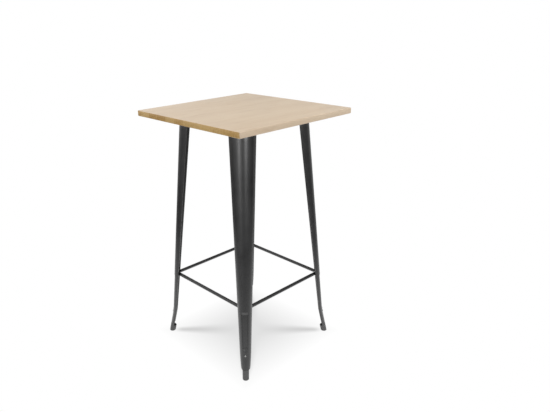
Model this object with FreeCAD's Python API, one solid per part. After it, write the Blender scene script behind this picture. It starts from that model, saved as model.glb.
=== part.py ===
import FreeCAD, Part
import math
import os
from FreeCAD import Placement, Rotation, Vector

# Square pub table: an edge-glued wooden top on four pressed-steel legs that lean out along the diagonals,
# with a hidden angle-iron frame under the top and four slim stretcher rods near the floor.
# Millimetres, +Z up, origin on the floor under the middle of the top, sides of the top along X and Y.

# Overall size and the wooden top
table_height = 1020
top_side = 600
top_thickness = 22
top_corner_radius = 6
top_edge_round = 2.5

# Fits that all pieces share
weld_gap = 0.2
hole_clearance = 0.4
thread_clearance = 0.1
overrun = 5

# Legs: a reach is measured along the diagonal from the table's axis to the crown of the leg's arc
sheet_thickness = 1.5
hem_height = 7
head_reach = 255.5
head_width = 101
head_depth = 37
knee_height = 100
knee_reach = 341
knee_width = 45
knee_depth = 16.5
knee_bend = 32
leg_end_height = 42
leg_end_flare = 12.65
leg_end_width = 37.5
leg_end_radius = 5
bend_steps = 4

# Stretcher rods with flattened, overlapping ends, bolted to a tab just inside the mouth of each leg
stretcher_height = 297
stretcher_inset = 10
stretcher_radius = 7
lug_thickness = 4
lug_half_width = 8
lug_length = 12
lug_neck_length = 8
tab_thickness = 3
tab_edge_distance = 6

# Pressed recess low on the outer face of each leg, from just under the tab down towards the knee
recess_top_gap = 0.5
recess_knee_gap = 16
recess_top_width = 25
recess_bottom_width = 23.5
recess_depth = 4.5
recess_side_slope = 1
recess_top_slope = 9
recess_bottom_slope = 22
recess_corner_radius = 4

# Feet: a moulded cup flush with the leg's outer face, and a half-round tongue set back behind the sheet
foot_radius = 13
foot_wall = 2.5
foot_floor = 9
foot_round = 2
cup_height = 29
tongue_lap = 6
tongue_top_gap = 3
rivet_edge_distance = 7
rivet_seat_gap = 0.1
rivet_radius = 2
rivet_head_radius = 3.5
rivet_head_height = 1.6
rivet_tail_radius = 2.8
rivet_tail_length = 2.5

# Square frame of angle rails under the top, with its corners inside the heads of the legs
frame_corner_gap = 2.3
rail_flange = 35
rail_web = 26
rail_thickness = 4

# Head plates welded inside the legs, and the countersunk bolts that hold them to the rails
head_plate_thickness = 3
head_bolt_land = 1
head_bolt_web_gap = 1
countersink_radius = 6
countersink_depth = 3

# Wood screws through the rails into the top
screw_spacing = 140
screw_inset = 12
screw_radius = 2.2
screw_head_radius = 4.2
screw_head_height = 2.6
screw_cover = 7

# Bolts, nuts and washers, one size throughout
bolt_radius = 3
bolt_tip = 2
hex_across_flats = 10
hex_head_height = 4
nut_height = 5
washer_radius = 6
washer_thickness = 1.6

up = Vector(0, 0, 1)
across = Vector(0, 1, 0)
outward = Vector(1, 0, 0)
floor_centre = Vector(0, 0, 0)
corner_turn_shares = {"front_left": 5 / 8, "front_right": 7 / 8, "back_right": 1 / 8, "back_left": 3 / 8}
side_turn_shares = {"front": 0, "right": 1 / 4, "back": 2 / 4, "left": 3 / 4}

# Levels, slopes and places that follow from the sizes above
leg_head_height = table_height - top_thickness
leg_end_reach = knee_reach + leg_end_flare
lean_rate = (knee_reach - head_reach) / (leg_head_height - knee_height)
flare_rate = leg_end_flare / (knee_height - leg_end_height)
flare_angle = math.atan(flare_rate)


def below_knee(height):
    """Height below the knee, eased in over the bend."""
    bend_start = knee_height + knee_bend / 2
    bend_finish = knee_height - knee_bend / 2
    if height >= bend_start:
        return 0
    if height <= bend_finish:
        return knee_height - height
    return (bend_start - height) ** 2 / (2 * knee_bend)


def taper(at_head, at_knee, at_end, height):
    """A size of the leg that changes at one rate above the knee and at another below it."""
    upper_rate = (at_knee - at_head) / (leg_head_height - knee_height)
    lower_rate = (at_end - at_knee) / (knee_height - leg_end_height)
    return at_knee + upper_rate * (knee_height - height) + (lower_rate - upper_rate) * below_knee(height)


def crown_reach(height):
    """How far the crown of the leg's arc is from the table's axis."""
    return taper(head_reach, knee_reach, leg_end_reach, height)


def mouth_reach(height):
    """How far the open mouth of the leg's arc is from the table's axis."""
    return crown_reach(height) - taper(head_depth, knee_depth, knee_depth, height)


tab_top = stretcher_height - lug_thickness
tab_underside = tab_top - tab_thickness
corner_bolt_reach = mouth_reach(stretcher_height) + stretcher_inset
stretcher_offset = corner_bolt_reach / math.sqrt(2)
recess_top_height = tab_underside - recess_top_gap
recess_bottom_height = knee_height + recess_knee_gap
recess_middle_height = (recess_top_height + recess_bottom_height) / 2
tongue_top = recess_bottom_height - sheet_thickness - tongue_top_gap - foot_radius * flare_rate
rivet_height = tongue_top - rivet_edge_distance
frame_half_side = (head_reach - sheet_thickness - frame_corner_gap) / math.sqrt(2)
rail_underside = leg_head_height - rail_thickness
head_plate_underside = rail_underside - head_plate_thickness
head_bolt_edge = frame_half_side - countersink_radius - hole_clearance / 2 - head_bolt_land
head_bolt_side = frame_half_side - rail_flange + rail_thickness + head_bolt_web_gap + washer_radius
head_bolt_reach = (head_bolt_edge + head_bolt_side) / math.sqrt(2)
head_bolt_offset = (head_bolt_edge - head_bolt_side) / math.sqrt(2)
head_washer_low = head_plate_underside - washer_thickness
corner_washer_low = tab_underside - washer_thickness
screw_depth = top_thickness - screw_cover


def turned(shape, turn_share):
    """A copy of a shape, turned about the table's axis by a share of a full turn."""
    copy = shape.copy()
    copy.rotate(floor_centre, up, math.degrees(math.tau * turn_share))
    return copy


def at_corners(shapes):
    """One compound with the shapes at all four corners."""
    turns = corner_turn_shares.values()
    return Part.makeCompound([turned(shape, turn) for turn in turns for shape in shapes])


def at_sides(shapes):
    """One compound with the shapes at all four sides."""
    turns = side_turn_shares.values()
    return Part.makeCompound([turned(shape, turn) for turn in turns for shape in shapes])


def disc(low, radius, height):
    """An upright cylinder whose lower face is centred on a point."""
    return Part.makeCylinder(radius, height, low, up)


def bar(start, radius, length):
    """A cylinder that runs outwards from a point."""
    return Part.makeCylinder(radius, length, start, outward)


def hole(low, radius, thickness):
    """A cutting cylinder that passes right through an upright thickness."""
    return disc(low - up * overrun, radius, thickness + 2 * overrun)


def bolt_hole(low, thickness):
    """The clearance hole for a bolt through a plate."""
    return hole(low, bolt_radius + hole_clearance / 2, thickness)


def washer(low):
    """A flat washer."""
    return disc(low, washer_radius, washer_thickness).cut(bolt_hole(low, washer_thickness))


def hexagon(low, height):
    """An upright hexagonal prism for a bolt head or a nut."""
    corner_radius = hex_across_flats / math.sqrt(3)
    turns = [math.radians(60 * step) for step in range(7)]
    corners = [low + Vector(math.cos(turn), math.sin(turn), 0) * corner_radius for turn in turns]
    return Part.Face(Part.makePolygon(corners)).extrude(up * height)


def nut(low):
    """A hexagon nut with a plain bore."""
    return hexagon(low, nut_height).cut(hole(low, bolt_radius + thread_clearance, nut_height))


def rounded_outline(corners, radius):
    """A closed wire through flat corners, each rounded by a tangent arc."""
    arcs = []
    for index, corner in enumerate(corners):
        towards_last = (corners[index - 1] - corner).normalize()
        towards_next = (corners[(index + 1) % len(corners)] - corner).normalize()
        half_angle = towards_last.getAngle(towards_next) / 2
        setback = radius / math.tan(half_angle)
        bisector = (towards_last + towards_next).normalize()
        middle = corner + bisector * (radius / math.sin(half_angle) - radius)
        arcs.append((corner + towards_last * setback, middle, corner + towards_next * setback))
    edges = []
    for index, (start, middle, finish) in enumerate(arcs):
        next_start = arcs[(index + 1) % len(arcs)][0]
        edges.append(Part.Arc(start, middle, finish).toShape())
        edges.append(Part.LineSegment(finish, next_start).toShape())
    return Part.Wire(edges)


# Wooden top
def screw_places():
    """The two wood screws of the front rail, at the underside of the top."""
    line = screw_inset - frame_half_side
    return [Vector(side * screw_spacing / 2, line, leg_head_height) for side in (-1, 1)]


def make_table_top():
    """The wooden board, with eased edges and pilot holes for the wood screws."""
    half = top_side / 2
    board = Part.makeBox(top_side, top_side, top_thickness, Vector(-half, -half, leg_head_height))
    uprights = [edge for edge in board.Edges if edge.BoundBox.ZLength > top_thickness / 2]
    board = board.makeFillet(top_corner_radius, uprights)
    level_edges = [edge for edge in board.Edges if edge.BoundBox.ZLength < top_thickness / 2]
    board = board.makeFillet(top_edge_round, level_edges)
    for place in screw_places():
        pilot = disc(place - up * overrun, screw_radius + thread_clearance, screw_depth + overrun)
        board = board.cut(at_sides([pilot]))
    return board


def make_top_screw(place):
    """A pan-head wood screw, driven up through the rail."""
    rail_low = place - up * rail_thickness
    head = disc(rail_low - up * screw_head_height, screw_head_radius, screw_head_height)
    shank = disc(rail_low, screw_radius, rail_thickness + screw_depth)
    return head.fuse(shank).removeSplitter()


# Legs
def leg_arc(height, inset, mouth_shift):
    """The leg's arc at a height, drawn in by an inset and closed by a chord across its mouth."""
    width = taper(head_width, knee_width, leg_end_width, height)
    depth = crown_reach(height) - mouth_reach(height)
    outer_radius = (width * width / 4 + depth * depth) / (2 * depth)
    centre = crown_reach(height) - outer_radius
    radius = outer_radius - inset
    chord = mouth_reach(height) + mouth_shift
    half_chord = math.sqrt(radius ** 2 - (chord - centre) ** 2)
    start = Vector(chord, -half_chord, height)
    crown = Vector(centre + radius, 0, height)
    finish = Vector(chord, half_chord, height)
    arc = Part.Arc(start, crown, finish).toShape()
    return Part.Wire([arc, Part.LineSegment(finish, start).toShape()])


def leg_volume(inset, mouth_shift, passing):
    """The space inside the leg's arc from head to end, drawn in by an inset."""
    bend_top = knee_height + knee_bend / 2
    bend_heights = [bend_top - knee_bend * step / bend_steps for step in range(bend_steps + 1)]
    heights = [leg_head_height + passing] + bend_heights + [leg_end_height - passing]
    return Part.makeLoft([leg_arc(height, inset, mouth_shift) for height in heights], True, True)


def recess_outline(level, grow):
    """Outline of the pressed recess at a level below the crown, grown by the sheet for its outer wall."""
    depth_share = level / recess_depth
    top = recess_top_height - recess_middle_height - recess_top_slope * depth_share + grow
    bottom = recess_bottom_height - recess_middle_height + recess_bottom_slope * depth_share - grow
    top_half = recess_top_width / 2 - recess_side_slope * depth_share + grow
    bottom_half = recess_bottom_width / 2 - recess_side_slope * depth_share + grow
    corners = [
        Vector(-level, -bottom_half, bottom),
        Vector(-level, bottom_half, bottom),
        Vector(-level, top_half, top),
        Vector(-level, -top_half, top),
    ]
    return rounded_outline(corners, recess_corner_radius)


def recess_block(grow):
    """The recess as a solid on the leg's leaning outer face."""
    outlines = [recess_outline(level, grow) for level in (-recess_depth, recess_depth + grow)]
    block = Part.makeLoft(outlines, True, True)
    lean = Rotation(across, -math.degrees(math.atan(lean_rate)))
    block.Placement = Placement(Vector(crown_reach(recess_middle_height), 0, recess_middle_height), lean)
    return block


def end_corner(side):
    """A block that rounds one lower corner of the leg's flanks."""
    size = leg_end_radius + overrun
    arc_line = side * (leg_end_width / 2 - leg_end_radius)
    low = Vector(0, min(arc_line, arc_line + side * size), leg_end_height - overrun)
    block = Part.makeBox(leg_end_reach, size, size, low)
    arc_start = Vector(-overrun, arc_line, leg_end_height + leg_end_radius)
    return block.cut(bar(arc_start, leg_end_radius, leg_end_reach + 2 * overrun))


def make_leg():
    """One pressed leg: an open arc of sheet with hemmed edges, a recess in its face and a rounded end."""
    body = leg_volume(0, 0, 0)
    hollow = leg_volume(sheet_thickness, hem_height, overrun)
    mouth = leg_volume(2 * sheet_thickness, -overrun, overrun)
    tray = recess_block(sheet_thickness).common(body)
    pressed = body.cut(hollow).cut(mouth).fuse(tray).cut(recess_block(0))
    for side in (-1, 1):
        pressed = pressed.cut(end_corner(side))
    return pressed.cut(rivet_hole()).removeSplitter()


def leg_infill(underside, thickness, mouth_shift):
    """A flat plate that fits between the leg's hems at a height, its free edge set in from the mouth."""
    inside = leg_volume(2 * sheet_thickness + weld_gap, mouth_shift, 0)
    slab = Part.makeBox(leg_end_reach, head_width, thickness, Vector(0, -head_width / 2, underside))
    return inside.common(slab)


# Frame under the top and the heads of the legs
def head_bolt_places():
    """The two bolts through a leg's head plate, either side of the diagonal."""
    return [Vector(head_bolt_reach, side * head_bolt_offset, 0) for side in (-1, 1)]


def make_head_plate():
    """The plate welded inside the head of a leg, under the corner of the frame."""
    plate = leg_infill(head_plate_underside, head_plate_thickness, 0)
    for place in head_bolt_places():
        plate = plate.cut(bolt_hole(place + up * head_plate_underside, head_plate_thickness))
    return plate


def countersunk_shape(place, length, gap):
    """A countersunk bolt whose head is flush with the top of the rails, or its hole if a gap is given."""
    head_top = place + up * leg_head_height
    shank = disc(head_top - up * length, bolt_radius + gap, length)
    head_low = head_top - up * countersink_depth
    head = Part.makeCone(bolt_radius + gap, countersink_radius + gap, countersink_depth, head_low, up)
    return shank.fuse(head).removeSplitter()


def make_head_bolt(place):
    """A countersunk bolt from the top of the rail to just past its nut."""
    grip = rail_thickness + head_plate_thickness + washer_thickness + nut_height
    return countersunk_shape(place, grip + bolt_tip, 0)


def mitred_bar(outer, inner, underside, thickness):
    """A bar along X with mitred ends, its long edge at y = -outer and its short edge at y = -inner."""
    corners = [
        Vector(-outer, -outer, underside),
        Vector(outer, -outer, underside),
        Vector(inner, -inner, underside),
        Vector(-inner, -inner, underside),
    ]
    return Part.Face(Part.makePolygon(corners + corners[:1])).extrude(up * thickness)


def make_rail():
    """The front angle rail: a level flange under the top and a web along its inner edge."""
    inner = frame_half_side - rail_flange
    flange = mitred_bar(frame_half_side, inner, rail_underside, rail_thickness)
    web = mitred_bar(inner + rail_thickness, inner, leg_head_height - rail_web, rail_web)
    rail = flange.fuse(web).removeSplitter()
    for place in head_bolt_places():
        rail = rail.cut(at_corners([countersunk_shape(place, rail_thickness + overrun, hole_clearance / 2)]))
    for place in screw_places():
        rail = rail.cut(hole(place - up * rail_thickness, screw_radius + hole_clearance / 2, rail_thickness))
    return rail


# Stretchers
def make_stretcher_tab():
    """The tab welded inside a leg, under the two stretcher ends."""
    plate = leg_infill(tab_underside, tab_thickness, stretcher_inset - tab_edge_distance)
    return plate.cut(bolt_hole(Vector(corner_bolt_reach, 0, tab_underside), tab_thickness))


def flattened_end(side, lug_underside):
    """One end of the front stretcher: a neck from round to flat, then a rounded lug with a bolt hole."""
    bolt_low = Vector(side * stretcher_offset, -stretcher_offset, lug_underside)
    lug_start = bolt_low - outward * (side * lug_length)
    rod_finish = Vector(lug_start.x - side * lug_neck_length, -stretcher_offset, stretcher_height)
    flat_centre = lug_start + up * (lug_thickness / 2)
    wide_point = flat_centre + across * lug_half_width
    high_point = flat_centre + up * (lug_thickness / 2)
    flat_wire = Part.Wire(Part.Ellipse(wide_point, high_point, flat_centre).toShape())
    round_wire = Part.Wire(Part.makeCircle(stretcher_radius, rod_finish, outward))
    neck = Part.makeLoft([round_wire, flat_wire], True, True)
    lug_low = Vector(min(lug_start.x, bolt_low.x), -stretcher_offset - lug_half_width, lug_underside)
    lug = Part.makeBox(lug_length, 2 * lug_half_width, lug_thickness, lug_low)
    rounded_lug = lug.fuse(disc(bolt_low, lug_half_width, lug_thickness))
    return neck.fuse(rounded_lug).cut(bolt_hole(bolt_low, lug_thickness))


def make_stretcher():
    """The front stretcher: its left end lies over its neighbour's end, and its right end lies under."""
    half = stretcher_offset - lug_length - lug_neck_length
    rod = bar(Vector(-half, -stretcher_offset, stretcher_height), stretcher_radius, 2 * half)
    left_end = flattened_end(-1, stretcher_height)
    right_end = flattened_end(1, tab_top)
    return rod.fuse(left_end).fuse(right_end).removeSplitter()


def make_stretcher_bolt():
    """The upright hexagon bolt at a corner of the stretchers."""
    grip = 2 * lug_thickness + tab_thickness + 2 * washer_thickness + nut_height
    head_low = Vector(corner_bolt_reach, 0, stretcher_height + lug_thickness + washer_thickness)
    shank = disc(head_low - up * (grip + bolt_tip), bolt_radius, grip + bolt_tip)
    return hexagon(head_low, hex_head_height).fuse(shank).removeSplitter()


# Feet
def above(height):
    """A broad slab that cuts off whatever is above a height."""
    return disc(up * height, 2 * leg_end_reach, table_height)


def below(height):
    """A broad slab that cuts off whatever is below a height."""
    return disc(up * (height - table_height), 2 * leg_end_reach, table_height)


def foot_shell(setback):
    """The foot's round wall along the flare, set back from the leg's outer face and open behind its cup."""
    under = foot_radius * flare_rate + overrun
    length = tongue_top / math.cos(flare_angle)
    shell = disc(up * -under, foot_radius, under + length)
    shell = shell.cut(disc(up * foot_floor, foot_radius - foot_wall, length))
    width = 2 * foot_radius
    behind = Vector(setback + foot_radius - knee_depth - width, -foot_radius, cup_height)
    shell = shell.cut(Part.makeBox(width, width, length, behind))
    floor_reach = knee_reach + flare_rate * knee_height
    inset = (setback + foot_radius) / math.cos(flare_angle)
    lean = Rotation(across, -math.degrees(flare_angle))
    shell.Placement = Placement(Vector(floor_reach - inset, 0, 0), lean)
    return shell


def rivet_placement():
    """Where the foot rivet sits: on the crown, with its own X axis pointing straight out of the sheet."""
    tilt = math.degrees(math.atan((lean_rate + flare_rate) / 2))
    seat = crown_reach(rivet_height) + rivet_seat_gap
    return Placement(Vector(seat, 0, rivet_height), Rotation(across, -tilt))


def rivet_hole():
    """The hole for the foot rivet through the leg's sheet and the tongue."""
    cutter = bar(outward * -foot_radius, rivet_radius + hole_clearance / 2, foot_radius + overrun)
    cutter.Placement = rivet_placement()
    return cutter


def make_foot():
    """One moulded foot: a cup that stands flat under the leg's end, and the tongue that the rivet holds."""
    cup = foot_shell(0).cut(above(leg_end_height - weld_gap)).cut(below(0))
    floor_edges = [edge for edge in cup.Edges if edge.CenterOfMass.z < foot_round]
    cup = cup.makeFillet(foot_round, floor_edges)
    tongue = foot_shell(sheet_thickness + weld_gap).cut(below(leg_end_height - tongue_lap))
    return cup.fuse(tongue).removeSplitter().cut(rivet_hole())


def make_foot_rivet():
    """The blind rivet that holds a foot: a domed head outside and a spread tail behind the tongue."""
    flare_line = knee_reach + flare_rate * (knee_height - rivet_height)
    bore_radius = foot_radius - foot_wall
    tail_sag = bore_radius - math.sqrt(bore_radius ** 2 - rivet_tail_radius ** 2)
    walls = sheet_thickness + foot_wall + crown_reach(rivet_height) - flare_line
    grip = rivet_seat_gap + walls + tail_sag + 2 * weld_gap
    tail_start = outward * -(grip + rivet_tail_length)
    dome_radius = (rivet_head_radius ** 2 + rivet_head_height ** 2) / (2 * rivet_head_height)
    dome = Part.makeSphere(dome_radius, outward * (rivet_head_height - dome_radius))
    head = dome.common(bar(floor_centre, rivet_head_radius, rivet_head_height))
    shank = bar(tail_start, rivet_radius, grip + rivet_tail_length)
    tail = bar(tail_start, rivet_tail_radius, rivet_tail_length)
    rivet = head.fuse(shank).fuse(tail).removeSplitter()
    rivet.Placement = rivet_placement()
    return rivet


def export(name, shape):
    """Write one node, refusing a shape that is not sound."""
    if not shape.isValid() or not shape.Solids:
        raise ValueError(name + " is not a sound solid")
    shape.exportStep(os.path.join("parts", name + ".step"))


os.makedirs("parts", exist_ok=True)

export("table_top", make_table_top())
export("top_screws", at_sides([make_top_screw(place) for place in screw_places()]))

corner_pieces = {
    "leg": make_leg(),
    "leg_head_plate": make_head_plate(),
    "stretcher_tab": make_stretcher_tab(),
    "foot": make_foot(),
}
for piece, shape in corner_pieces.items():
    for corner, turn in corner_turn_shares.items():
        export(piece + "_" + corner, turned(shape, turn))

side_pieces = {"frame_rail": make_rail(), "stretcher": make_stretcher()}
for piece, shape in side_pieces.items():
    for side, turn in side_turn_shares.items():
        export(piece + "_" + side, turned(shape, turn))

head_places = head_bolt_places()
export("head_bolts", at_corners([make_head_bolt(place) for place in head_places]))
export("head_washers", at_corners([washer(place + up * head_washer_low) for place in head_places]))
export("head_nuts", at_corners([nut(place + up * (head_washer_low - nut_height)) for place in head_places]))

corner_bolt = Vector(corner_bolt_reach, 0, 0)
upper_washer = washer(corner_bolt + up * (stretcher_height + lug_thickness))
lower_washer = washer(corner_bolt + up * corner_washer_low)
export("stretcher_bolts", at_corners([make_stretcher_bolt()]))
export("stretcher_washers", at_corners([upper_washer, lower_washer]))
export("stretcher_nuts", at_corners([nut(corner_bolt + up * (corner_washer_low - nut_height))]))

export("foot_rivets", at_corners([make_foot_rivet()]))
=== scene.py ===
import math
import bmesh
import bpy
from mathutils import Matrix, Vector


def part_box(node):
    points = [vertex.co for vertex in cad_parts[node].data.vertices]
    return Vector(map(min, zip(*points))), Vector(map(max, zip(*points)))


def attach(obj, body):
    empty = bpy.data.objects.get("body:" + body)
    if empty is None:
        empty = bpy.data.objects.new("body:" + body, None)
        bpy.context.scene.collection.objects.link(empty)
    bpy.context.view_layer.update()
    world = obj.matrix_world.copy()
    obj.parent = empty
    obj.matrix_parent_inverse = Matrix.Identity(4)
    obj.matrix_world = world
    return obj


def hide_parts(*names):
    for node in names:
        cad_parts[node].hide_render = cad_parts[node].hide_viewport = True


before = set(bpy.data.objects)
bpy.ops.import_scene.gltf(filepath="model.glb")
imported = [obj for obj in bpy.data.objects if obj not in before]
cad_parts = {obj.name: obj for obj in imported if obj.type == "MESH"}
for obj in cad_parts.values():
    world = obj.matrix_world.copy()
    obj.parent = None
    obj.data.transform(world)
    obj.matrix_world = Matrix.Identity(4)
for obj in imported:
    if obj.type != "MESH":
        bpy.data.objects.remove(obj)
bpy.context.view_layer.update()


# Wooden top: one square board of pale hardwood staves, edge-glued with their grain along X.
# Its corners are rounded and its edges eased, and it is sanded and sealed with a satin clear coat.
# It lies on the steel frame, and wood screws hold it from below.
top_low, top_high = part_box("table_top")
top_corner_radius = 0.006
top_corner_segments = 8
top_edge_round = 0.0025
round_segments = 4
facing_share = 0.9
smooth_angle = math.radians(35)
stave_width = 0.0545
stave_shift = 4
stave_ramp = (0, 1, -0.08, 0.1)
grain_layers = {
    "bands": {"size_along": 0.3, "size_across": 0.045, "detail": 4, "ramp": (0.35, 0.75, 0, 0.4)},
    "fibres": {"size_along": 0.11, "size_across": 0.0016, "detail": 3, "ramp": (0.3, 0.75, -0.03, 0.1)},
    "figure": {"size_along": 0.085, "size_across": 0.022, "detail": 2, "ramp": (0.58, 0.75, 0, 0.35)},
    "pores": {"size_along": 0.014, "size_across": 0.0009, "detail": 1, "ramp": (0.64, 0.76, 0, 0.3)},
}
fibre_depth = 0.00012
end_stave_ramp = (0, 1, 0, 0.8)
end_blob_size = 0.00625
end_blob_ramp = (0.3, 0.7, -0.25, 0.4)
end_facing_ramp = (0.6, 0.85, 0, 1)
patch_range = (0.3, 0.7)


def add_piece(name, add_primitive, **size_and_place):
    """Adds a primitive, alone in the selection, with its size and place applied to its mesh."""
    bpy.ops.object.select_all(action="DESELECT")
    add_primitive(**size_and_place)
    bpy.ops.object.transform_apply(location=True, rotation=True, scale=True)
    piece = bpy.context.object
    piece.name = name
    piece.data.name = name
    return piece


def pick(piece, kind, test):
    """In edit mode, selects only the vertices, edges or faces that pass a test."""
    bpy.ops.mesh.select_mode(type=kind)
    bpy.ops.mesh.select_all(action="DESELECT")
    mesh = bmesh.from_edit_mesh(piece.data)
    mesh.normal_update()
    for element in {"VERT": mesh.verts, "EDGE": mesh.edges, "FACE": mesh.faces}[kind]:
        if test(element):
            element.select_set(True)
    bmesh.update_edit_mesh(piece.data)


def is_upright(edge):
    """Whether an edge of the board stands upright."""
    return abs(edge.verts[0].co.z - edge.verts[1].co.z) > top_edge_round


def is_rim(edge):
    """Whether an edge lies between a level face and a side."""
    steepness = sorted(abs(face.normal.z) for face in edge.link_faces)
    return steepness[0] < 1 - facing_share and steepness[-1] > facing_share


def add_node(tree, kind, inputs, **options):
    """Adds a shader node, sets its options and feeds its inputs with values or other nodes' outputs."""
    node = tree.nodes.new("ShaderNode" + kind)
    for option, value in options.items():
        setattr(node, option, value)
    for name, value in inputs.items():
        if isinstance(value, bpy.types.NodeSocket):
            tree.links.new(value, node.inputs[name])
        else:
            node.inputs[name].default_value = value
    return node


def calc(tree, operation, *values):
    """One step of arithmetic on values or outputs."""
    return add_node(tree, "Math", dict(enumerate(values)), operation=operation).outputs[0]


def rescale(tree, value, low, high, new_low, new_high, easing="LINEAR"):
    """Carries a value along a ramp, from one range's low and high to another's, and holds it there."""
    ends = {"Value": value, "From Min": low, "From Max": high, "To Min": new_low, "To Max": new_high}
    return add_node(tree, "MapRange", ends, interpolation_type=easing).outputs[0]


def blend_colours(tree, share, first, second):
    """A colour between two others."""
    colours = {0: share, 6: first, 7: second}
    return add_node(tree, "Mix", colours, data_type="RGBA").outputs[2]


def soft_noise(tree, position, size_along, size_across, detail):
    """Noise whose blobs have one size along the grain and another across it."""
    shares = (1 / size_along, 1 / size_across, 1 / size_across)
    scaled = add_node(tree, "VectorMath", {0: position, 1: shares}, operation="MULTIPLY").outputs[0]
    return add_node(tree, "TexNoise", {"Vector": scaled, "Scale": 1, "Detail": detail}).outputs[0]


def new_finish(name, **settings):
    """A material with a Principled shader, plain settings on its sockets, and object coordinates."""
    finish = bpy.data.materials.new(name)
    finish.use_nodes = True
    tree = finish.node_tree
    shader = tree.nodes["Principled BSDF"]
    for socket, value in settings.items():
        shader.inputs[socket.replace("_", " ")].default_value = value
    position = add_node(tree, "TexCoord", {}).outputs["Object"]
    return finish, tree, shader, position


def make_surface_mottle():
    """A group for any finish: fine grain for the bump, and wide soft patches for the gloss and the tone."""
    group = bpy.data.node_groups.new("surface_mottle", "ShaderNodeTree")
    for name, kind in (("Position", "Vector"), ("Grain Size", "Float"), ("Patch Size", "Float"),
                       ("Low Roughness", "Float"), ("High Roughness", "Float")):
        group.interface.new_socket(name, in_out="INPUT", socket_type="NodeSocket" + kind)
    for name in ("Height", "Roughness", "Tone"):
        group.interface.new_socket(name, in_out="OUTPUT", socket_type="NodeSocketFloat")
    given = group.nodes.new("NodeGroupInput").outputs
    made = group.nodes.new("NodeGroupOutput").inputs
    grain_scale = calc(group, "DIVIDE", 1, given["Grain Size"])
    patch_scale = calc(group, "DIVIDE", 1, given["Patch Size"])
    grain = add_node(group, "TexNoise", {"Vector": given["Position"], "Scale": grain_scale, "Detail": 2})
    patch = add_node(group, "TexNoise", {"Vector": given["Position"], "Scale": patch_scale, "Detail": 4})
    gloss = rescale(group, patch.outputs[0], *patch_range, given["Low Roughness"], given["High Roughness"])
    tone = rescale(group, patch.outputs[0], *patch_range, 0, 1)
    group.links.new(grain.outputs[0], made["Height"])
    group.links.new(gloss, made["Roughness"])
    group.links.new(tone, made["Tone"])
    return group


surface_mottle = make_surface_mottle()


def add_mottle(tree, position, **settings):
    """Places the mottle group in a finish with that finish's own sizes and roughness."""
    mottle = tree.nodes.new("ShaderNodeGroup")
    mottle.node_tree = surface_mottle
    tree.links.new(position, mottle.inputs["Position"])
    for socket, value in settings.items():
        mottle.inputs[socket.replace("_", " ")].default_value = value
    return mottle.outputs


def add_bump(tree, shader, height, depth):
    """Lets a height pattern roughen the shader's surface by a depth in metres."""
    bump = add_node(tree, "Bump", {"Strength": 1, "Distance": depth, "Height": height})
    tree.links.new(bump.outputs[0], shader.inputs["Normal"])


def make_clear_coated_wood():
    """Pale staves with streaks and pores along X, and darker mottled end grain on the two ends."""
    finish, tree, shader, position = new_finish("clear_coated_wood", Coat_Weight=0.15, Coat_Roughness=0.3)
    pale = (0.695, 0.56, 0.41, 1)
    honey = (0.56, 0.41, 0.275, 1)
    pore = (0.40, 0.26, 0.15, 1)
    end_pale = (0.64, 0.425, 0.16, 1)
    end_dark = (0.42, 0.22, 0.04, 1)
    place = add_node(tree, "SeparateXYZ", {0: position}).outputs
    stave = calc(tree, "FLOOR", calc(tree, "DIVIDE", place["Y"], stave_width))
    chance = add_node(tree, "TexWhiteNoise", {"W": stave}, noise_dimensions="1D").outputs
    chance_shift = {0: chance["Color"], "Scale": stave_shift}
    shift = add_node(tree, "VectorMath", chance_shift, operation="SCALE").outputs[0]
    in_stave = add_node(tree, "VectorMath", {0: position, 1: shift}, operation="ADD").outputs[0]
    noise, share = {}, {}
    for layer, look in grain_layers.items():
        noise[layer] = soft_noise(tree, in_stave, look["size_along"], look["size_across"], look["detail"])
        share[layer] = rescale(tree, noise[layer], *look["ramp"])
    stave_share = rescale(tree, chance["Value"], *stave_ramp)
    grain_share = calc(tree, "ADD", calc(tree, "ADD", share["bands"], share["fibres"]), share["figure"])
    honey_share = add_node(tree, "Clamp", {0: calc(tree, "ADD", grain_share, stave_share)}).outputs[0]
    streaked = blend_colours(tree, honey_share, pale, honey)
    face_colour = blend_colours(tree, share["pores"], streaked, pore)
    end_noise = {"Vector": in_stave, "Scale": 1 / end_blob_size, "Detail": 3}
    end_blobs = rescale(tree, add_node(tree, "TexNoise", end_noise).outputs[0], *end_blob_ramp)
    end_stave = rescale(tree, chance["Value"], *end_stave_ramp)
    end_share = add_node(tree, "Clamp", {0: calc(tree, "ADD", end_stave, end_blobs)}).outputs[0]
    end_colour = blend_colours(tree, end_share, end_pale, end_dark)
    facing = add_node(tree, "SeparateXYZ", {0: add_node(tree, "TexCoord", {}).outputs["Normal"]}).outputs
    is_end = rescale(tree, calc(tree, "ABSOLUTE", facing["X"]), *end_facing_ramp)
    tree.links.new(blend_colours(tree, is_end, face_colour, end_colour), shader.inputs["Base Color"])
    mottle = add_mottle(tree, position, Grain_Size=0.0006, Patch_Size=0.09,
                        Low_Roughness=0.38, High_Roughness=0.5)
    tree.links.new(mottle["Roughness"], shader.inputs["Roughness"])
    add_bump(tree, shader, noise["fibres"], fibre_depth)
    return finish


def dress(piece, finish, slot, *nodes):
    """Gives a finished piece its material, and lets it ride and stand for its CAD nodes."""
    piece.data.materials.clear()
    piece.data.materials.append(finish)
    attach(piece, "root")
    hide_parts(*nodes)


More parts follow.
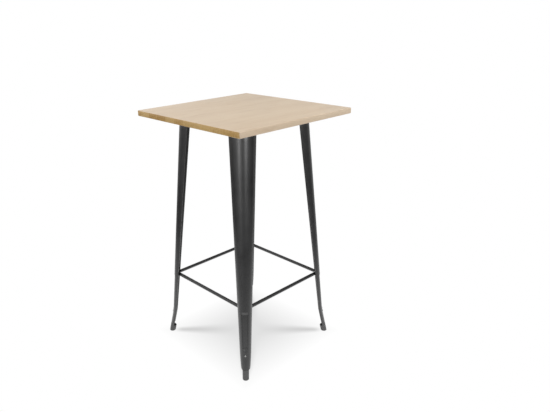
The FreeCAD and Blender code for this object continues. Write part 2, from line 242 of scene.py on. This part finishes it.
wood_top = add_piece("wood_top", bpy.ops.mesh.primitive_cube_add, size=1,
                     location=(top_low + top_high) / 2, scale=top_high - top_low)
bpy.ops.object.mode_set(mode="EDIT")
pick(wood_top, "EDGE", is_upright)
bpy.ops.mesh.bevel(offset=top_corner_radius, segments=top_corner_segments, affect="EDGES")
pick(wood_top, "EDGE", is_rim)
bpy.ops.mesh.bevel(offset=top_edge_round, segments=round_segments, affect="EDGES")
bpy.ops.object.mode_set(mode="OBJECT")
bpy.ops.object.shade_smooth_by_angle(angle=smooth_angle)
dress(wood_top, make_clear_coated_wood(), "top_wood", "table_top")


# Legs: four alike, each pressed from one steel sheet into a long tapering arc that leans out to its corner.
# The open edges are hemmed, a shallow recess is pressed low on the crown, and the end flares at a knee.
# Coated all over with satin black powder paint, which has a faint orange-peel skin.
corner_turns = {"front_left": 5 / 8, "front_right": 7 / 8, "back_right": 1 / 8, "back_left": 3 / 8}
leg_sheet = 0.0015
leg_head_height = top_low.z
head_reach = 0.2555
head_width = 0.101
head_depth = 0.037
knee_height = 0.1
knee_reach = 0.341
knee_width = 0.045
knee_depth = 0.0165
knee_bend = 0.032
leg_end_height = 0.042
leg_end_flare = 0.01265
leg_end_width = 0.0375
leg_end_radius = 0.005
lean_rate = (knee_reach - head_reach) / (leg_head_height - knee_height)
flare_rate = leg_end_flare / (knee_height - leg_end_height)
recess_top = 0.2895
recess_bottom = 0.116
recess_depth = 0.0055
recess_top_slope = 0.012
recess_bottom_slope = 0.022
recess_wall_outside = 9.9
recess_wall_inside = 9.1
rows_past_recess = 0.004
rows_at_top_slope = 0.014
rows_at_bottom_slope = 0.026
rows_at_end_height = 0.056
hem_columns = 4
arc_columns = 28
circle_points = 139
leg_edge_round = 0.0004
leg_sharp_angle = math.radians(55)
edge_segments = 2


def taper(at_head, at_knee, at_end, height):
    """A size of the leg that changes at one rate above the knee and at another below it."""
    bend_top = knee_height + knee_bend / 2
    past_knee = max(0, knee_height - height)
    if abs(height - knee_height) < knee_bend / 2:
        past_knee = (bend_top - height) ** 2 / (2 * knee_bend)
    upper_rate = (at_knee - at_head) / (leg_head_height - knee_height)
    lower_rate = (at_end - at_knee) / (knee_height - leg_end_height)
    return at_knee + upper_rate * (knee_height - height) + (lower_rate - upper_rate) * past_knee


def leg_arc(height):
    """Reach of the crown, width, depth and radius of the leg's arc at a height."""
    reach = taper(head_reach, knee_reach, knee_reach + leg_end_flare, height)
    width = taper(head_width, knee_width, leg_end_width, height)
    depth = taper(head_depth, knee_depth, knee_depth, height)
    return reach, width, depth, (width * width / 4 + depth * depth) / (2 * depth)


def leg_heights():
    """Heights of the leg's cross-sections, stage by stage down to a height in a number of rows."""
    stages = ((recess_top + rows_past_recess, 16), (recess_top - rows_at_top_slope, 12),
              (recess_bottom + rows_at_bottom_slope, 5), (recess_bottom - rows_past_recess, 15),
              (knee_height - knee_bend / 2, 12), (rows_at_end_height, 4), (leg_end_height, 9))
    heights = [leg_head_height]
    for stage_end, rows in stages:
        start = heights[-1]
        heights += [start + (stage_end - start) * row / rows for row in range(1, rows + 1)]
    return heights


def smooth_share(value, start, finish):
    """How far a value has gone from a start to a finish, eased at both."""
    share = min(1, max(0, (value - start) / (finish - start)))
    return share * share * (3 - 2 * share)


def arc_column(place):
    """How many columns of the arc a point is from the crown, on either side."""
    reach, width, depth, radius = leg_arc(place.z)
    return math.atan2(abs(place.y), place.x - reach + radius) * circle_points / math.tau


def press_share(place):
    """How far a point of the leg is pressed into the flat floor of the recess."""
    radius = leg_arc(place.z)[3]
    column = arc_column(place)
    sag = radius * (1 - math.cos(column * math.tau / circle_points))
    side = smooth_share(column, recess_wall_outside, recess_wall_inside)
    top = min(1, max(0, (recess_top - place.z) / recess_top_slope))
    bottom = smooth_share(place.z, recess_bottom, recess_bottom + recess_bottom_slope)
    return max(0, side * top * bottom * (1 - sag / recess_depth))


def corner_lift_share(place):
    """How far the rounding of the leg's lower corners lifts a point."""
    past = (abs(place.y) - leg_end_width / 2) / leg_end_radius + 1
    lift = 1 - math.sqrt(max(0, 1 - max(0, past) ** 2))
    return lift * min(1, max(0, 1 - (place.z - leg_end_height) / (2 * leg_end_radius)))


def apply_modifier(kind, **settings):
    """Adds a modifier to the active piece, sets it and applies it."""
    bpy.ops.object.modifier_add(type=kind)
    modifier = bpy.context.object.modifiers[-1]
    for setting, value in settings.items():
        setattr(modifier, setting, value)
    bpy.ops.object.modifier_apply(modifier=modifier.name)


def ease_edges(width, sharp_angle):
    """Rounds the sharp edges of the active piece a little, and shades it smooth between them."""
    apply_modifier("BEVEL", width=width, segments=edge_segments,
                   limit_method="ANGLE", angle_limit=sharp_angle)
    bpy.ops.object.shade_smooth_by_angle(angle=smooth_angle)


def weigh(piece, group_name, share):
    """A vertex group that weighs each point of a piece by a share of its place."""
    group = piece.vertex_groups.new(name=group_name)
    for vertex in piece.data.vertices:
        group.add([vertex.index], share(vertex.co), "REPLACE")


def make_mottled_finish(name, metallic, dark, light, bump_depth, **settings):
    """A finish that varies softly between two tones, with patches of gloss and a fine grain."""
    finish, tree, shader, position = new_finish(name, Metallic=metallic)
    mottle = add_mottle(tree, position, **settings)
    tree.links.new(blend_colours(tree, mottle["Tone"], dark, light), shader.inputs["Base Color"])
    tree.links.new(mottle["Roughness"], shader.inputs["Roughness"])
    add_bump(tree, shader, mottle["Height"], bump_depth)
    return finish


def copy_turned(piece, name, turn):
    """A copy of a piece with its own mesh, turned about the table's axis by a share of a full turn."""
    bpy.ops.object.select_all(action="DESELECT")
    piece.select_set(True)
    bpy.context.view_layer.objects.active = piece
    bpy.ops.object.duplicate(linked=False)
    copy = bpy.context.object
    copy.name = name
    copy.data.name = name
    copy.rotation_euler.z = math.tau * turn
    bpy.ops.object.transform_apply(rotation=True)
    return copy


def discard(piece):
    """Removes a master piece once its copies are made."""
    bpy.ops.object.select_all(action="DESELECT")
    piece.select_set(True)
    bpy.ops.object.delete()


def make_pressed_leg():
    """One leg along +X: an arc drawn down level by level, pressed, given its thickness and hemmed."""
    reach, width, depth, radius = leg_arc(leg_head_height)
    leg = add_piece("pressed_leg", bpy.ops.mesh.primitive_circle_add, vertices=circle_points, radius=radius,
                    location=(reach - radius, 0, leg_head_height), rotation=(0, 0, -math.pi / 2))
    bpy.ops.object.mode_set(mode="EDIT")
    pick(leg, "VERT", lambda point: arc_column(point.co) > arc_columns + 0.5)
    bpy.ops.mesh.delete(type="VERT")
    bpy.ops.mesh.select_all(action="SELECT")
    last_height = leg_head_height
    for height in leg_heights()[1:]:
        new_reach, new_width, new_depth, radius = leg_arc(height)
        step = (new_reach - reach, 0, height - last_height)
        bpy.ops.mesh.extrude_edges_move(TRANSFORM_OT_translate={"value": step})
        bpy.ops.transform.resize(value=(new_depth / depth, new_width / width, 1),
                                 center_override=(new_reach, 0, height))
        reach, width, depth, last_height = new_reach, new_width, new_depth, height
    bpy.ops.mesh.select_all(action="SELECT")
    bpy.ops.mesh.flip_normals()
    bpy.ops.object.mode_set(mode="OBJECT")
    weigh(leg, "recess", press_share)
    weigh(leg, "corners", corner_lift_share)
    apply_modifier("DISPLACE", direction="X", strength=-recess_depth, mid_level=0, vertex_group="recess")
    apply_modifier("DISPLACE", direction="Z", strength=leg_end_radius, mid_level=0, vertex_group="corners")
    apply_modifier("DISPLACE", direction="X", strength=-flare_rate * leg_end_radius, mid_level=0,
                   vertex_group="corners")
    leg.vertex_groups.new(name="inside")
    apply_modifier("SOLIDIFY", thickness=leg_sheet, offset=-1, use_even_offset=True,
                   shell_vertex_group="inside")
    inside = leg.vertex_groups["inside"].index
    inner = [any(spot.group == inside for spot in vertex.groups) for vertex in leg.data.vertices]
    bpy.ops.object.mode_set(mode="EDIT")

    def is_hem(face):
        at_edge = arc_column(face.calc_center_median()) > arc_columns - hem_columns
        return at_edge and all(inner[vertex.index] for vertex in face.verts)

    pick(leg, "FACE", is_hem)
    bpy.ops.mesh.extrude_region_shrink_fatten(TRANSFORM_OT_shrink_fatten={"value": leg_sheet})
    bpy.ops.object.mode_set(mode="OBJECT")
    leg.vertex_groups.clear()
    ease_edges(leg_edge_round, leg_sharp_angle)
    return leg


black_powder_coat = make_mottled_finish(
    "black_powder_coat", metallic=0, dark=(0.010, 0.010, 0.0105, 1), light=(0.016, 0.016, 0.0165, 1),
    bump_depth=0.00003, Grain_Size=0.0016, Patch_Size=0.06, Low_Roughness=0.31, High_Roughness=0.37)
pressed_leg = make_pressed_leg()
for corner, turn in corner_turns.items():
    leg_copy = copy_turned(pressed_leg, "pressed_leg_" + corner, turn)
    dress(leg_copy, black_powder_coat, "black_paint", "leg_" + corner)
discard(pressed_leg)


# Frame rails: four lengths of steel angle, mitred to a square that carries the top on the heads of the legs.
# The flange lies flat under the wood, and the web hangs from its inner edge.
# Black powder paint as on the legs.
side_turns = {"front": 0, "right": 1 / 4, "back": 2 / 4, "left": 3 / 4}
rail_low, rail_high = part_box("frame_rail_front")
rail_thickness = 0.004
rail_edge_round = 0.0006
rail_sharp_angle = math.radians(30)


def make_angle_rail():
    """The front rail: a flat bar whose inner edge is drawn down into a web, cut to mitres at both ends."""
    flange_low = Vector((rail_low.x, rail_low.y, rail_high.z - rail_thickness))
    rail = add_piece("angle_rail", bpy.ops.mesh.primitive_cube_add, size=1,
                     location=(flange_low + rail_high) / 2, scale=rail_high - flange_low)
    web_line = rail_high.y - rail_thickness
    bpy.ops.object.mode_set(mode="EDIT")
    bpy.ops.mesh.select_all(action="SELECT")
    bpy.ops.mesh.bisect(plane_co=(0, web_line, 0), plane_no=(0, 1, 0))
    pick(rail, "FACE", lambda face: face.normal.z < -facing_share and face.calc_center_median().y > web_line)
    bpy.ops.mesh.extrude_region_move(TRANSFORM_OT_translate={"value": (0, 0, rail_low.z - flange_low.z)})
    bpy.ops.mesh.select_all(action="SELECT")
    bpy.ops.mesh.bisect(plane_co=(0, 0, 0), plane_no=(1, -1, 0), clear_inner=True, use_fill=True)
    bpy.ops.mesh.select_all(action="SELECT")
    bpy.ops.mesh.bisect(plane_co=(0, 0, 0), plane_no=(1, 1, 0), clear_outer=True, use_fill=True)
    bpy.ops.object.mode_set(mode="OBJECT")
    ease_edges(rail_edge_round, rail_sharp_angle)
    return rail


angle_rail = make_angle_rail()
for side, turn in side_turns.items():
    rail_copy = copy_turned(angle_rail, "angle_rail_" + side, turn)
    dress(rail_copy, black_powder_coat, "black_paint", "frame_rail_" + side)
discard(angle_rail)


# Head plates and stretcher tabs: flat steel blanks, welded inside the legs and painted with them.
# One carries a corner of the frame, and the other carries the ends of two stretchers.
def finish_nodes(finish, *nodes):
    """Gives CAD nodes that stay as they are a better material."""
    for node in nodes:
        for material_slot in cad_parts[node].material_slots:
            material_slot.material = finish


for corner in corner_turns:
    finish_nodes(black_powder_coat, "leg_head_plate_" + corner, "stretcher_tab_" + corner)


# Bolts, washers, nuts and wood screws: stock fasteners under the top and at the corners of the stretchers.
# Steel, cold-formed and plated with zinc, which has dulled a little in cloudy patches.
dull_zinc = make_mottled_finish(
    "dull_zinc", metallic=1, dark=(0.30, 0.305, 0.31, 1), light=(0.42, 0.42, 0.415, 1),
    bump_depth=0.00002, Grain_Size=0.0008, Patch_Size=0.006, Low_Roughness=0.3, High_Roughness=0.5)
finish_nodes(dull_zinc, "head_bolts", "head_washers", "head_nuts", "top_screws",
             "stretcher_bolts", "stretcher_washers", "stretcher_nuts")


# Stretchers: four slim steel rods that tie the legs to each other, well below knee height for a sitter.
# Each end is pressed flat, rounded and bolted to the tab in a leg, the left end over and the right end under.
# Black powder paint as on the legs.
rod_low, rod_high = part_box("stretcher_front")
rod_middle = (rod_low + rod_high) / 2
rod_radius = (rod_high.z - rod_low.z) / 2
rod_points = 32
lug_half_width = (rod_high.y - rod_low.y) / 2
lug_half_thickness = 0.002
lug_length = 0.012
lug_neck_length = 0.008
neck_steps = 5
nose_steps = 7
pick_slack = 0.0001
rod_edge_round = 0.0005
rod_sharp_angle = math.radians(40)


def make_pressed_rod():
    """The front stretcher: a rod whose ends are drawn out through a flattening neck into rounded lugs."""
    bolt_reach = rod_high.x - lug_half_width
    lug_start = bolt_reach - lug_length
    rod_half = lug_start - lug_neck_length
    rod = add_piece("pressed_rod", bpy.ops.mesh.primitive_cylinder_add, vertices=rod_points,
                    radius=rod_radius, depth=2 * rod_half, location=rod_middle, rotation=(0, math.pi / 2, 0))
    bpy.ops.object.mode_set(mode="EDIT")
    for side in (-1, 1):
        pick(rod, "FACE", lambda face: face.normal.x * side > facing_share)
        centre = rod_middle + Vector((side * rod_half, 0, 0))
        width, height = rod_radius, rod_radius

        def draw_out(length, rise, new_width, new_height):
            bpy.ops.mesh.extrude_region_move(TRANSFORM_OT_translate={"value": (side * length, 0, rise)})
            centre.x += side * length
            centre.z += rise
            bpy.ops.transform.resize(value=(1, new_width / width, new_height / height),
                                     center_override=centre)
            return new_width, new_height

        last_share = 0
        for step in range(1, neck_steps + 1):
            share = smooth_share(step, 0, neck_steps)
            rise = -side * lug_half_thickness * (share - last_share)
            width, height = draw_out(lug_neck_length / neck_steps, rise,
                                     rod_radius + (lug_half_width - rod_radius) * share,
                                     rod_radius + (lug_half_thickness - rod_radius) * share)
            last_share = share
        width, height = draw_out(lug_length, 0, width, height)
        for step in range(1, nose_steps):
            turn, last_turn = (math.pi / 2 * number / nose_steps for number in (step, step - 1))
            length = lug_half_width * (math.sin(turn) - math.sin(last_turn))
            width, height = draw_out(length, 0, lug_half_width * math.cos(turn), height)
        for face_side in (-1, 1):
            face_height = centre.z + face_side * lug_half_thickness
            pick(rod, "VERT", lambda point: point.co.x * side > lug_start - pick_slack
                 and (point.co.z - centre.z) * face_side > lug_half_thickness / 10)
            bpy.ops.transform.resize(value=(1, 1, 0), center_override=(0, 0, face_height))
    bpy.ops.object.mode_set(mode="OBJECT")
    ease_edges(rod_edge_round, rod_sharp_angle)
    return rod


pressed_rod = make_pressed_rod()
for side, turn in side_turns.items():
    rod_copy = copy_turned(pressed_rod, "pressed_rod_" + side, turn)
    dress(rod_copy, black_powder_coat, "black_paint", "stretcher_" + side)
discard(pressed_rod)


# Feet: each one piece of matt dark hard rubber, moulded as a cup cut flat where it stands on the floor.
# The cup is flush with the leg's outer face. From its shoulder a half-round tongue, set back by the sheet,
# goes up inside the leg, and a rivet holds it there.
foot_radius = 0.013
foot_wall = 0.0025
foot_floor = 0.009
foot_round = 0.002
foot_edge_round = 0.0006
foot_sharp_angle = math.radians(50)
cup_height = 0.029
shoulder_height = 0.0385
shoulder_rise = 0.0014
tongue_setback = 0.0017
tongue_top = 0.1087
tongue_half_angle = math.radians(99)
foot_points = 64
foot_under = 0.006
flare_angle = math.atan(flare_rate)
foot_reach = knee_reach + flare_rate * knee_height - foot_radius / math.cos(flare_angle)


def make_moulded_foot():
    """One foot along +X: a hollowed cylinder, its rim drawn up in part, tilted and cut at the floor."""
    foot = add_piece("moulded_foot", bpy.ops.mesh.primitive_cylinder_add, vertices=foot_points,
                     radius=foot_radius, depth=cup_height + foot_under,
                     location=(0, 0, (cup_height - foot_under) / 2))
    bpy.ops.object.mode_set(mode="EDIT")
    pick(foot, "FACE", lambda face: face.normal.z > facing_share)
    bpy.ops.mesh.inset(thickness=foot_wall)
    bpy.ops.mesh.extrude_region_move(TRANSFORM_OT_translate={"value": (0, 0, foot_floor - cup_height)})

    def is_tongue(face):
        place = face.calc_center_median()
        on_rim = face.normal.z > facing_share and place.z > cup_height - foot_round
        return on_rim and abs(math.atan2(place.y, place.x)) < tongue_half_angle

    pick(foot, "FACE", is_tongue)
    tongue_length = tongue_top / math.cos(flare_angle) - shoulder_height - shoulder_rise
    steps = ((0, shoulder_height - cup_height), (-tongue_setback, shoulder_rise), (0, tongue_length))
    for along, rise in steps:
        bpy.ops.mesh.extrude_region_move(TRANSFORM_OT_translate={"value": (along, 0, rise)})
    bpy.ops.object.mode_set(mode="OBJECT")
    foot.rotation_euler.y = -flare_angle
    foot.location.x = foot_reach
    bpy.ops.object.transform_apply(location=True, rotation=True)
    bpy.ops.object.mode_set(mode="EDIT")
    bpy.ops.mesh.select_all(action="SELECT")
    bpy.ops.mesh.bisect(plane_co=(0, 0, 0), plane_no=(0, 0, 1), clear_inner=True, use_fill=True)
    pick(foot, "EDGE", lambda edge: max(point.co.z for point in edge.verts) < foot_round / 10)
    bpy.ops.mesh.bevel(offset=foot_round, segments=round_segments, affect="EDGES")
    bpy.ops.object.mode_set(mode="OBJECT")
    ease_edges(foot_edge_round, foot_sharp_angle)
    return foot


hard_rubber = make_mottled_finish(
    "hard_rubber", metallic=0, dark=(0.055, 0.055, 0.056, 1), light=(0.078, 0.078, 0.078, 1),
    bump_depth=0.00004, Grain_Size=0.0009, Patch_Size=0.012, Low_Roughness=0.55, High_Roughness=0.7)
moulded_foot = make_moulded_foot()
for corner, turn in corner_turns.items():
    foot_copy = copy_turned(moulded_foot, "moulded_foot_" + corner, turn)
    dress(foot_copy, hard_rubber, "foot_rubber", "foot_" + corner)
discard(moulded_foot)


# Foot rivets: one blind rivet of bare, lightly dulled steel through each leg's crown and its foot's tongue.
# The head is a low dome with the dimple that the pulled pin leaves, and the tail is spread behind the tongue.
rivet_height = 0.1017
rivet_seat_gap = 0.0001
rivet_points = 32
rivet_head_radius = 0.0035
rivet_head_height = 0.0016
rivet_lip = 0.0003
rivet_pin_radius = 0.001
rivet_dimple_depth = rivet_head_height / 3
rivet_dimple_taper = 0.9
rivet_shank_radius = 0.002
rivet_grip = 0.006
rivet_tail_radius = 0.0028
rivet_tail_length = 0.0025
dome_steps = 6


def make_blind_rivet():
    """One rivet along +X: a disc drawn out into a dome in front, and into a shank and a tail behind."""
    rivet = add_piece("blind_rivet", bpy.ops.mesh.primitive_cylinder_add, vertices=rivet_points,
                      radius=rivet_head_radius, depth=rivet_lip, location=(rivet_lip / 2, 0, 0),
                      rotation=(0, math.pi / 2, 0))
    bpy.ops.object.mode_set(mode="EDIT")

    def draw_out(length, scale_across):
        bpy.ops.mesh.extrude_region_move(TRANSFORM_OT_translate={"value": (length, 0, 0)})
        bpy.ops.transform.resize(value=(1, scale_across, scale_across), center_override=(0, 0, 0))

    def is_back(face):
        return face.normal.x < -facing_share and face.calc_center_median().x < rivet_lip / 2

    pick(rivet, "FACE", lambda face: face.normal.x > facing_share)
    radius = rivet_head_radius
    rise = 0
    for step in range(1, dome_steps + 1):
        new_radius = rivet_head_radius + (rivet_pin_radius - rivet_head_radius) * step / dome_steps
        new_rise = (rivet_head_height - rivet_lip) * math.sqrt(1 - (new_radius / rivet_head_radius) ** 2)
        draw_out(new_rise - rise, new_radius / radius)
        radius, rise = new_radius, new_rise
    draw_out(-rivet_dimple_depth, rivet_dimple_taper)
    pick(rivet, "FACE", is_back)
    bpy.ops.mesh.inset(thickness=rivet_head_radius - rivet_shank_radius)
    draw_out(-rivet_grip, 1)
    draw_out(0, rivet_tail_radius / rivet_shank_radius)
    draw_out(-rivet_tail_length, 1)
    bpy.ops.object.mode_set(mode="OBJECT")
    rivet.rotation_euler.y = -math.atan((flare_rate + lean_rate) / 2)
    rivet.location = (leg_arc(rivet_height)[0] + rivet_seat_gap, 0, rivet_height)
    bpy.ops.object.transform_apply(location=True, rotation=True)
    bpy.ops.object.shade_smooth_by_angle(angle=smooth_angle)
    return rivet


bare_steel = make_mottled_finish(
    "bare_steel", metallic=1, dark=(0.19, 0.19, 0.188, 1), light=(0.25, 0.25, 0.247, 1),
    bump_depth=0.00001, Grain_Size=0.0004, Patch_Size=0.003, Low_Roughness=0.45, High_Roughness=0.58)
blind_rivet = make_blind_rivet()
for corner, turn in corner_turns.items():
    rivet_copy = copy_turned(blind_rivet, "blind_rivet_" + corner, turn)
    dress(rivet_copy, bare_steel, "rivet_steel", "foot_rivets")
discard(blind_rivet)


# Floor: a plain white studio floor, clear from below, only there to show that the table stands on it.
# Its shade is drawn by its material: a soft square under the top, and a wedge from each foot to the middle.
# In the paint it shows bright close to the table, in front and behind, and dimmer with distance.
floor_size = 16
square_shade = 0.25
square_start = 0.06
square_finish = 0.3
streak_shade = 0.25
streak_foot_half_width = 0.022
streak_middle_half_width = 0.075
streak_start = 0.03
streak_finish = 0.3
streak_end = 0.35
towards_camera = (-0.676, -0.737, 0)
towards_right = (0.737, -0.676, 0)
near_ramp = (0.6, 1.8, 1.8, 0.08)
front_rise_ramp = (0.3, 1, 0, 0.68)
front_fall_ramp = (1.2, 2.4, 0.68, 0.1)
front_fade_ramp = (1.5, 3, 1, 0.3)
side_balance_ramp = (-0.9, 0.9, 0.6, 1.25)
side_start_ramp = (0.3, 0.7, 0, 1)
side_fade_ramp = (0.9, 1.7, 1, 0.5)
side_slant_ramp = (-2.2, -1.4, 1, 0.5)
behind_ramp = (-0.35, -0.1, 1, 0)


def measure_along(tree, position, direction):
    """How far a point lies along a direction."""
    return add_node(tree, "VectorMath", {0: position, 1: direction}, operation="DOT_PRODUCT").outputs["Value"]


def add_streak(tree, along, beside):
    """The shade of two legs on one diagonal of the floor, darkest and narrowest near the feet."""
    rise = rescale(tree, along, streak_start, streak_finish, 0, streak_shade, "SMOOTHSTEP")
    stop = rescale(tree, along, streak_finish, streak_end, 1, 0, "SMOOTHSTEP")
    half_width = rescale(tree, along, streak_start, streak_end,
                         streak_middle_half_width, streak_foot_half_width)
    spread = rescale(tree, calc(tree, "DIVIDE", beside, half_width), 0, 1, 1, 0, "SMOOTHSTEP")
    return calc(tree, "MULTIPLY", calc(tree, "MULTIPLY", rise, stop), spread)


def add_mirrored_level(tree, position):
    """How bright each place of the floor shows in the paint."""
    ahead = measure_along(tree, position, towards_camera)
    beside = measure_along(tree, position, towards_right)
    away = add_node(tree, "VectorMath", {0: position}, operation="LENGTH").outputs["Value"]
    aside = calc(tree, "ABSOLUTE", beside)
    slant = calc(tree, "DIVIDE", ahead, aside)
    near = rescale(tree, away, *near_ramp)
    front_rise = rescale(tree, ahead, *front_rise_ramp)
    front_fall = rescale(tree, ahead, *front_fall_ramp)
    front_fade = rescale(tree, away, *front_fade_ramp)
    front = calc(tree, "MULTIPLY", calc(tree, "MINIMUM", front_rise, front_fall), front_fade)
    side_balance = rescale(tree, beside, *side_balance_ramp)
    side_start = rescale(tree, aside, *side_start_ramp)
    side_fade = rescale(tree, away, *side_fade_ramp)
    side_far = calc(tree, "MAXIMUM", side_fade, rescale(tree, slant, *side_slant_ramp))
    beside_level = calc(tree, "MULTIPLY", calc(tree, "MULTIPLY", side_balance, side_far), side_start)
    behind = calc(tree, "MULTIPLY", beside_level, rescale(tree, slant, *behind_ramp))
    return calc(tree, "MAXIMUM", calc(tree, "MAXIMUM", near, front), behind)


def make_studio_floor():
    """Pale for the light, white with a drawn shade for the camera, and fading patches for reflections."""
    finish, tree, shader, position = new_finish("studio_floor", Base_Color=(0.8, 0.8, 0.8, 1), Roughness=0.9)
    path = add_node(tree, "LightPath", {}).outputs
    place = add_node(tree, "SeparateXYZ", {0: position}).outputs
    square = calc(tree, "MAXIMUM", calc(tree, "ABSOLUTE", place["X"]), calc(tree, "ABSOLUTE", place["Y"]))
    diagonal = math.sqrt(0.5)
    first = calc(tree, "ABSOLUTE", measure_along(tree, position, (diagonal, diagonal, 0)))
    second = calc(tree, "ABSOLUTE", measure_along(tree, position, (diagonal, -diagonal, 0)))
    streaks = calc(tree, "MAXIMUM", add_streak(tree, first, second), add_streak(tree, second, first))
    body = rescale(tree, square, square_start, square_finish, square_shade, 0)
    white = calc(tree, "SUBTRACT", calc(tree, "SUBTRACT", 1, body), streaks)
    shown = add_node(tree, "Emission", {"Strength": white}).outputs[0]
    mirrored = add_node(tree, "Emission", {"Strength": add_mirrored_level(tree, position)}).outputs[0]
    plain = add_node(tree, "MixShader", {0: path["Is Camera Ray"], 1: shader.outputs[0], 2: shown}).outputs[0]
    surface = add_node(tree, "MixShader", {0: path["Is Glossy Ray"], 1: plain, 2: mirrored}).outputs[0]
    from_below = add_node(tree, "NewGeometry", {}).outputs["Backfacing"]
    clear = add_node(tree, "BsdfTransparent", {}).outputs[0]
    one_sided = add_node(tree, "MixShader", {0: from_below, 1: surface, 2: clear}).outputs[0]
    tree.links.new(one_sided, tree.nodes["Material Output"].inputs["Surface"])
    return finish


floor = add_piece("studio_floor", bpy.ops.mesh.primitive_plane_add, size=floor_size)
floor.data.materials.append(make_studio_floor())


# Camera: at the photograph's height and angle, turned to a corner of the table.
# The frame is 550 by 412 pixels, and the small shift and roll place the table as it stands there.
camera_azimuth = math.radians(-43)
camera_height_angle = math.radians(20.721)
camera_distance = 2.2287
camera_roll = math.radians(-1.089)
camera_target = Vector((0, 0, 0.6))
frame_width = 550
frame_height = 412
focal_pixels = 526.37
centre_x = 245.65
centre_y = 208.3
sensor_width = 36

flat = math.cos(camera_height_angle)
back = Vector((math.sin(camera_azimuth) * flat, -math.cos(camera_azimuth) * flat,
               math.sin(camera_height_angle)))
level = Vector((0, 0, 1)).cross(back).normalized()
raised = back.cross(level)
right = level * math.cos(camera_roll) + raised * math.sin(camera_roll)
upward = back.cross(right)
camera_turn = Matrix((right, upward, back)).transposed().to_4x4()
bpy.ops.object.camera_add()
camera = bpy.context.object
camera.name = "photo_camera"
camera.matrix_world = Matrix.Translation(camera_target + back * camera_distance) @ camera_turn
camera.data.sensor_width = sensor_width
camera.data.lens = focal_pixels / frame_width * sensor_width
camera.data.shift_x = (frame_width / 2 - centre_x) / frame_width
camera.data.shift_y = (centre_y - frame_height / 2) / frame_width
bpy.context.scene.camera = camera


# Light: an even sky, a large softbox overhead and a key light from the right of the camera.
# Two upright softboxes beside the camera show only in the paint, as soft bands down the legs.
# There the sky is brighter in front, at the horizon and overhead, and a window glows on the left.
overhead_height = 3.5
overhead_size = 2.5
overhead_power = 23
key_place = Vector((0.84, -2.52, 2.4))
key_size = 1.5
key_power = 21
band_turn = math.radians(26)
band_distance = 2.8
band_width = 0.7
band_bottom = 0.8
band_top = 1.95
band_power = 32
sky_level = 0.65
horizon_ramp = (0.08, 0.35, 2, 1)
zenith_ramp = (0.4, 0.8, 1, 1.9)
front_ramp = (-0.2, 0.5, 0.3, 0.8)
window_ramp = (0.05, 0.35, 0, 0.8)


def add_softbox(name, place, aim, width, height, power):
    """A rectangular lamp that faces a point."""
    bpy.ops.object.light_add(type="AREA", location=place)
    lamp = bpy.context.object
    lamp.name = name
    lamp.rotation_euler = (place - aim).to_track_quat("Z", "Y").to_euler()
    lamp.data.shape = "RECTANGLE"
    lamp.data.size = width
    lamp.data.size_y = height
    lamp.data.energy = power
    lamp.visible_camera = False
    return lamp


def make_studio_world():
    """White for the camera, an even dim sky for the light, and a brighter front for reflections."""
    world = bpy.data.worlds.new("studio")
    world.use_nodes = True
    tree = world.node_tree
    path = add_node(tree, "LightPath", {}).outputs
    towards = add_node(tree, "TexCoord", {}).outputs["Generated"]
    facing = measure_along(tree, towards, (back.x, back.y, 0))
    leftward = measure_along(tree, towards, -right)
    height = add_node(tree, "SeparateXYZ", {0: towards}).outputs["Z"]
    glow = calc(tree, "MAXIMUM", rescale(tree, height, *horizon_ramp), rescale(tree, height, *zenith_ramp))
    bright_front = calc(tree, "MULTIPLY", glow, rescale(tree, facing, *front_ramp))
    mirrored = calc(tree, "ADD", bright_front, rescale(tree, leftward, *window_ramp))
    lit = add_node(tree, "Mix", {0: path["Is Glossy Ray"], 2: sky_level, 3: mirrored}).outputs[0]
    strength = add_node(tree, "Mix", {0: path["Is Camera Ray"], 2: lit, 3: 1}).outputs[0]
    shader = tree.nodes["Background"]
    shader.inputs["Color"].default_value = (1, 1, 1, 1)
    tree.links.new(strength, shader.inputs["Strength"])
    return world


bpy.context.scene.world = make_studio_world()
table_middle = Vector((0, 0, top_low.z))
add_softbox("overhead_softbox", Vector((0, 0, overhead_height)), table_middle,
            overhead_size, overhead_size, overhead_power)
key_lamp = add_softbox("key_softbox", key_place, table_middle, key_size, key_size, key_power)
key_lamp.visible_glossy = False
for side, name in ((-1, "left_softbox"), (1, "right_softbox")):
    turned = Matrix.Rotation(side * band_turn, 3, "Z") @ Vector((back.x, back.y, 0)).normalized()
    middle = Vector((0, 0, (band_bottom + band_top) / 2))
    band_lamp = add_softbox(name, turned * band_distance + middle, middle,
                            band_width, band_top - band_bottom, band_power)
    band_lamp.visible_diffuse = False

bpy.context.scene.view_settings.view_transform = "Standard"
